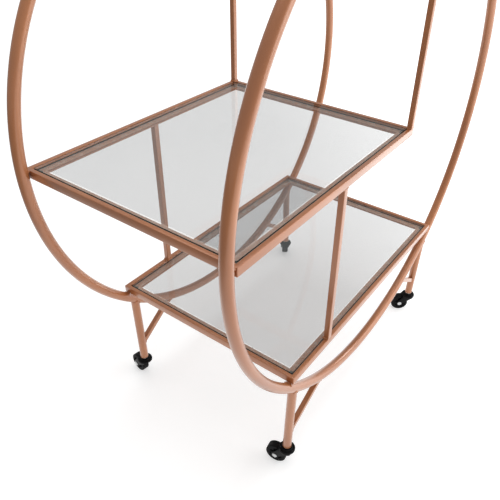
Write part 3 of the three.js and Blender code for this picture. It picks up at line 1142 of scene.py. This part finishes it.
class BuildWelds(bpy.types.Operator):
    """Runs a rippled bead along every joint of the frame"""

    bl_idname = "bar_cart.welds"
    bl_label = "Weld Beads"

    def execute(self, context):
        sizes = context.scene.cart_sizes
        loops = [line for corner in CORNERS for line in leg_welds(corner)]
        runs = [line for node in POSTS for line in post_welds(node)]
        for face in ("front", "rear"):
            runs += [corner_weld(level, face, end) for level in ("lower", "top") for end in (-1, 1)]
            runs.append(corner_weld("middle", face, -1))
        points = []
        edges = []
        for lines, closed in ((loops, True), (runs, False)):
            for line in lines:
                first = len(points)
                points += line
                edges += [(i, i + 1) for i in range(first, len(points) - 1)]
                if closed:
                    edges.append((len(points) - 1, first))
        values = {"Bead Radius": sizes.bead_radius, "Pitch": sizes.bead_pitch, "Sides": 10}
        belongs(bead_tree().grow("weld_beads", values, "weld", points, edges), "root", "rose_gold")
        return {"FINISHED"}


# ---- casters


class CasterPlan:
    """One caster's lines: drawn with its stem on Z and its wheel trailing along +X, then turned in place."""

    def __init__(self, corner):
        stem = middle_of(corner + "_caster_stem")
        axle = middle_of(corner + "_axle")
        trail = Vector((axle.x - stem.x, axle.y - stem.y))
        self.corner = corner
        self.trail = trail.length
        # The wheel stands on the floor, so this is its radius too
        self.axle_height = axle.z
        self.crown_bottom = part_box(corner + "_caster_fork")[UPPER].z - RACEWAY_HEIGHT - FORK_PLATE
        self.crown_top = self.crown_bottom + FORK_PLATE
        heading = Matrix.Rotation(atan2(trail.y, trail.x), 4, "Z")
        self.place = Matrix.Translation((stem.x, stem.y, 0)) @ heading
        axle_turn = Matrix.Rotation(pi / 2, 4, "X")
        self.axle_place = self.place @ Matrix.Translation((self.trail, 0, self.axle_height)) @ axle_turn
        # The axle's box holds its length along its run and its heads' radius across it
        half = half_size(corner + "_axle")
        run = Vector((abs(trail.y), abs(trail.x))).normalized()
        if run.x > run.y:
            self.axle_half = (half.x - half.z * run.y) / run.x
        else:
            self.axle_half = (half.y - half.z * run.x) / run.y


def make_fork(plan):
    """The pressed fork: two cheeks with round bosses, a crown, and the swivel's stepped race."""
    boss = FORK_BOSS_RADIUS
    crown = plan.crown_bottom
    top = plan.crown_top
    heel = sqrt(RACEWAY_RADIUS**2 - CHEEK_OUTER**2)
    outline = [(-heel, top), (-heel, crown - FORK_PLATE), (1.5 * MM - heel, crown - 1.6 * FORK_PLATE)]
    outline += arc((plan.trail, plan.axle_height), boss, pi, 2 * pi, 18)
    outline += [
        (plan.trail + boss, plan.axle_height + 2 * MM), (heel + 3 * MM, crown - FORK_PLATE), (heel, top)
    ]
    bm = bmesh.new()
    for inner in (-CHEEK_OUTER, CHEEK_INNER):
        skin(bm, [[(x, y, z) for x, z in outline] for y in (inner, inner + FORK_PLATE)])
    plate(bm, circle(RACEWAY_RADIUS, 48), crown, top)
    pressing = new_piece("pressing", bm, ["enamel"], 0.5 * MM)

    race = RACEWAY_RADIUS
    step = RACEWAY_HEIGHT
    bore = STEM_RADIUS + 0.3 * MM
    profile = [(bore, top - 0.2 * MM), (race - 0.8 * MM, top - 0.2 * MM)]
    profile += arc((race - 1.3 * MM, top + 0.35 * step), 0.5 * MM, 0, pi / 2, 3)
    profile += [(race - 2.6 * MM, top + 0.45 * step), (race - 2.9 * MM, top + 0.32 * step),
                (race - 3.4 * MM, top + 0.32 * step), (race - 3.6 * MM, top + 0.5 * step)]
    profile += arc((race - 5.2 * MM, top + 0.6 * step), 0.4 * step, 0, pi / 2, 5)
    profile += [(bore + 0.3 * MM, top + step), (bore, top + step - 0.3 * MM)]
    raceway = turned_piece("race", profile, "enamel", sides=48, loop=True)
    fork = join_meshes([pressing, raceway], plan.corner + "_fork_pressing")
    fork.data.transform(plan.place)
    belongs(fork, plan.corner + "_swivel_body", "caster_black", plan.corner + "_caster_fork")


def make_wheel(plan, ribs, rib_tools):
    """A moulded wheel: crowned rubber tyre on a dished disc with ribs and a hub."""
    half = WHEEL_HALF_WIDTH
    tread = plan.axle_height
    rim = tread - 5 * MM
    hub = 5.6 * MM
    bore = AXLE_PIN_RADIUS + 0.15 * MM
    web = half - 2.6 * MM
    shoulder = 1.5 * MM
    groove = tread - 0.12 * MM
    tyre = [(rim + 0.2 * MM, -half + 0.9 * MM), (rim + 1.1 * MM, -half)]
    tyre += arc((tread - shoulder, shoulder - half), shoulder, -pi / 2, 0, 5)
    tyre += [(tread, -0.4 * MM), (groove, -0.15 * MM), (groove, 0.15 * MM), (tread, 0.4 * MM)]
    tyre += arc((tread - shoulder, half - shoulder), shoulder, 0, pi / 2, 5)
    tyre += [(rim + 1.1 * MM, half), (rim + 0.2 * MM, half - 0.9 * MM)]
    tyre_piece = turned_piece("tyre", tyre, "rubber", sides=72, loop=True)

    lip = 0.4 * MM
    side = [(bore, half), (bore + lip, half + 0.2 * MM), (hub - lip, half + 0.2 * MM), (hub, half - lip),
            (hub + 0.3 * MM, web), (rim - 1.5 * MM, web), (rim - 1.1 * MM, half - 0.7 * MM),
            (rim - 0.8 * MM, half - 0.4 * MM), (rim, half - 0.4 * MM), (rim + 0.3 * MM, half - 0.9 * MM)]
    profile = side + [(radius, -height) for radius, height in reversed(side)]
    disc_piece = turned_piece("disc", profile, "nylon", sides=48, loop=True)
    values = {
        "Ribs": ribs,
        "Inner Radius": hub - 0.2 * MM,
        "Outer Radius": rim - 1.2 * MM,
        "Thickness": 1.1 * MM,
        "Width": 2 * (half - 1.1 * MM),
    }
    rib_piece = rib_tools.grow("ribs", values, "nylon")
    wheel = join_meshes([tyre_piece, disc_piece, rib_piece], plan.corner + "_wheel_tyre")
    wheel.data.transform(plan.axle_place)
    belongs(wheel, plan.corner + "_wheel_body", "tyre", plan.corner + "_wheel")


def make_axle(plan):
    """A riveted axle with a domed, dimpled head at both ends."""
    seat = CHEEK_OUTER + 0.1 * MM
    brim = seat + 0.25 * MM
    radius = 4.2 * MM
    height = plan.axle_half - seat
    rise = height - 0.25 * MM
    dome = [(AXLE_PIN_RADIUS, seat), (radius - 0.2 * MM, seat), (radius, brim)]
    for angle in (18, 34, 50, 64, 76):
        turn = radians(angle)
        dome.append((radius * cos(turn), brim + rise * sin(turn)))
    dome += [(0.14 * radius, seat + height), (0.06 * radius, seat + 0.9 * height)]
    profile = [(r, -z) for r, z in reversed(dome)] + dome
    piece = turned_piece(plan.corner + "_axle_rivet", profile, "steel", sides=36, place=plan.axle_place)
    belongs(piece, plan.corner + "_swivel_body", "bright_steel", plan.corner + "_axle")


def nut_ring(share, height, sides=36):
    """A level line round a chamfered nut: its hexagon, cut by a circle where the share is less than one."""
    ring = []
    for i in range(sides):
        turn = 2 * pi * i / sides
        to_flat = (turn + pi / 6) % (pi / 3) - pi / 6
        reach = NUT_RADIUS * cos(pi / 6) / cos(to_flat)
        if share < 1:
            reach = min(reach, NUT_RADIUS * share)
        ring.append((reach * cos(turn), reach * sin(turn), height))
    return ring


def make_stem(plan, pitch, thread_tools):
    """A threaded stem with a chamfered nut above the race and a riveted end below the crown."""
    low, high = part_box(plan.corner + "_caster_stem")
    nut_low = plan.crown_top + RACEWAY_HEIGHT + 0.3 * MM
    nut_high = nut_low + NUT_HEIGHT
    chamfer = 0.35 * MM
    core = STEM_RADIUS - 0.3 * pitch
    profile = [(RIVET_RADIUS - 0.8 * MM, low.z), (RIVET_RADIUS, low.z + 0.5 * MM),
               (RIVET_RADIUS, low.z + RIVET_HEIGHT), (STEM_RADIUS, low.z + RIVET_HEIGHT),
               (STEM_RADIUS, nut_high), (core, nut_high + 0.4 * MM),
               (core, high.z - 1 * MM), (core - 0.8 * MM, high.z)]
    shank = turned_piece("shank", profile, "steel", sides=28)

    bm = bmesh.new()
    levels = ((0.93, nut_low), (1.0, nut_low + chamfer), (1.0, nut_high - chamfer), (0.93, nut_high))
    skin(bm, [nut_ring(share, height) for share, height in levels])
    nut = new_piece("nut", bm, ["steel"], 0.15 * MM, 1)
    turns = (high.z - nut_high - 2 * MM) / pitch
    values = {"Radius": core + 0.05 * MM, "Pitch": pitch, "Turns": turns}
    start = Matrix.Translation((0, 0, nut_high + 0.8 * MM))
    thread = thread_tools.grow("thread", values, "steel", place=start)
    stem = join_meshes([shank, nut, thread], plan.corner + "_stem_and_nut")
    stem.data.transform(plan.place)
    belongs(stem, "root", "bright_steel", plan.corner + "_caster_stem")


class BuildCasters(bpy.types.Operator):
    """Assembles the four swivel casters"""

    bl_idname = "bar_cart.casters"
    bl_label = "Casters"

    def execute(self, context):
        sizes = context.scene.cart_sizes
        rib_tools = rib_tree()
        thread_tools = thread_tree()
        for corner in CORNERS:
            plan = CasterPlan(corner)
            make_stem(plan, sizes.thread_pitch, thread_tools)
            make_fork(plan)
            make_wheel(plan, sizes.wheel_ribs, rib_tools)
            make_axle(plan)
        return {"FINISHED"}


# ---- stage


def area_light(name, place, power, width, height):
    """A soft white rectangular light, which looks at the cart from its place."""
    light = bpy.data.lights.new(name, "AREA")
    light.shape = "RECTANGLE"
    light.size = width
    light.size_y = height
    light.energy = power
    lamp = link_object(name, light)
    lamp.location = place
    lamp.rotation_euler = (LIGHT_TARGET - place).to_track_quat("-Z", "Y").to_euler()


def side_light_place(direction):
    """Where a side light stands that lies this way from the cart."""
    return LIGHT_TARGET + direction.normalized() * LIGHT_DISTANCE


def make_camera(focal_length):
    """The camera, level with the upper half of the cart and looking down across its front left."""
    forward = Vector((
        cos(CAMERA_PITCH) * cos(CAMERA_YAW),
        cos(CAMERA_PITCH) * sin(CAMERA_YAW),
        sin(CAMERA_PITCH),
    ))
    level_right = Vector((sin(CAMERA_YAW), -cos(CAMERA_YAW), 0))
    level_up = level_right.cross(forward)
    right = level_right * cos(CAMERA_ROLL) + level_up * sin(CAMERA_ROLL)
    up = level_up * cos(CAMERA_ROLL) - level_right * sin(CAMERA_ROLL)
    lens = bpy.data.cameras.new("Camera")
    lens.sensor_width = FILM_WIDTH
    lens.lens = focal_length
    lens.shift_x, lens.shift_y = CAMERA_SHIFT
    lens.clip_start = 0.02
    camera = link_object("Camera", lens)
    turn = Matrix((right, up, -forward)).transposed().to_4x4()
    camera.matrix_world = Matrix.Translation(CAMERA_PLACE) @ turn
    bpy.context.scene.camera = camera


def make_floor():
    """A wide pale floor that the casters stand on."""
    bm = bmesh.new()
    corners = ((-1, -1), (1, -1), (1, 1), (-1, 1))
    bm.faces.new([bm.verts.new((x * FLOOR_REACH, y * FLOOR_REACH, 0)) for x, y in corners])
    mesh = bpy.data.meshes.new("floor")
    bm.to_mesh(mesh)
    bm.free()
    mesh.materials.append(finish("floor"))
    link_object("floor", mesh)


class BuildStage(bpy.types.Operator):
    """Lays the floor and sets the soft lights and the camera"""

    bl_idname = "bar_cart.stage"
    bl_label = "Stage"

    def execute(self, context):
        studio = context.scene.cart_studio
        make_floor()
        area_light("key", side_light_place(KEY_DIRECTION), studio.key_power, width=1.8, height=1.5)
        area_light("glint", side_light_place(GLINT_DIRECTION), studio.glint_power, width=0.6, height=0.6)
        area_light("top", TOP_LIGHT_PLACE, studio.top_power, width=2.2, height=2.2)
        world = bpy.data.worlds.new("studio")
        world.use_nodes = True
        world.node_tree.nodes.clear()
        surround = Nodes(world.node_tree).node(
            "ShaderNodeBackground", inputs={"Color": (1, 1, 1, 1), "Strength": studio.surround}
        )
        add_node(world.node_tree, "ShaderNodeOutputWorld", inputs={"Surface": surround})
        context.scene.world = world
        context.scene.view_settings.view_transform = "Standard"
        make_camera(studio.focal_length)
        return {"FINISHED"}


# ---- panel and registration


PIECES = (
    BuildHoops, BuildShelfFrames, BuildPanes, BuildPads, BuildPosts,
    BuildLegs, BuildPlugs, BuildWelds, BuildCasters, BuildStage,
)


class BarCartPanel(bpy.types.Panel):
    """The cart's sizes, colours and pieces"""

    bl_idname = "VIEW3D_PT_bar_cart"
    bl_label = "Bar Cart"
    bl_space_type = "VIEW_3D"
    bl_region_type = "UI"
    bl_category = "Bar Cart"

    def draw(self, context):
        scene = context.scene
        for group in (scene.cart_sizes, scene.cart_finishes, scene.cart_studio):
            column = self.layout.column()
            for name in group.bl_rna.properties.keys():
                if name not in ("rna_type", "name"):
                    column.prop(group, name)
        for piece in PIECES:
            self.layout.operator(piece.bl_idname)


CLASSES = (CartSizes, CartFinishes, CartStudio, *PIECES, BarCartPanel)


def register():
    """Makes the settings, the operators and the panel known."""
    for cls in CLASSES:
        bpy.utils.register_class(cls)
    bpy.types.Scene.cart_sizes = PointerProperty(type=CartSizes)
    bpy.types.Scene.cart_finishes = PointerProperty(type=CartFinishes)
    bpy.types.Scene.cart_studio = PointerProperty(type=CartStudio)


def unregister():
    """Takes them away again."""
    del bpy.types.Scene.cart_studio
    del bpy.types.Scene.cart_finishes
    del bpy.types.Scene.cart_sizes
    for cls in reversed(CLASSES):
        bpy.utils.unregister_class(cls)


def main():
    """Builds the whole cart and its stage."""
    register()
    for piece in PIECES:
        group, name = piece.bl_idname.split(".")
        getattr(getattr(bpy.ops, group), name)()


if __name__ == "__main__":
    main()
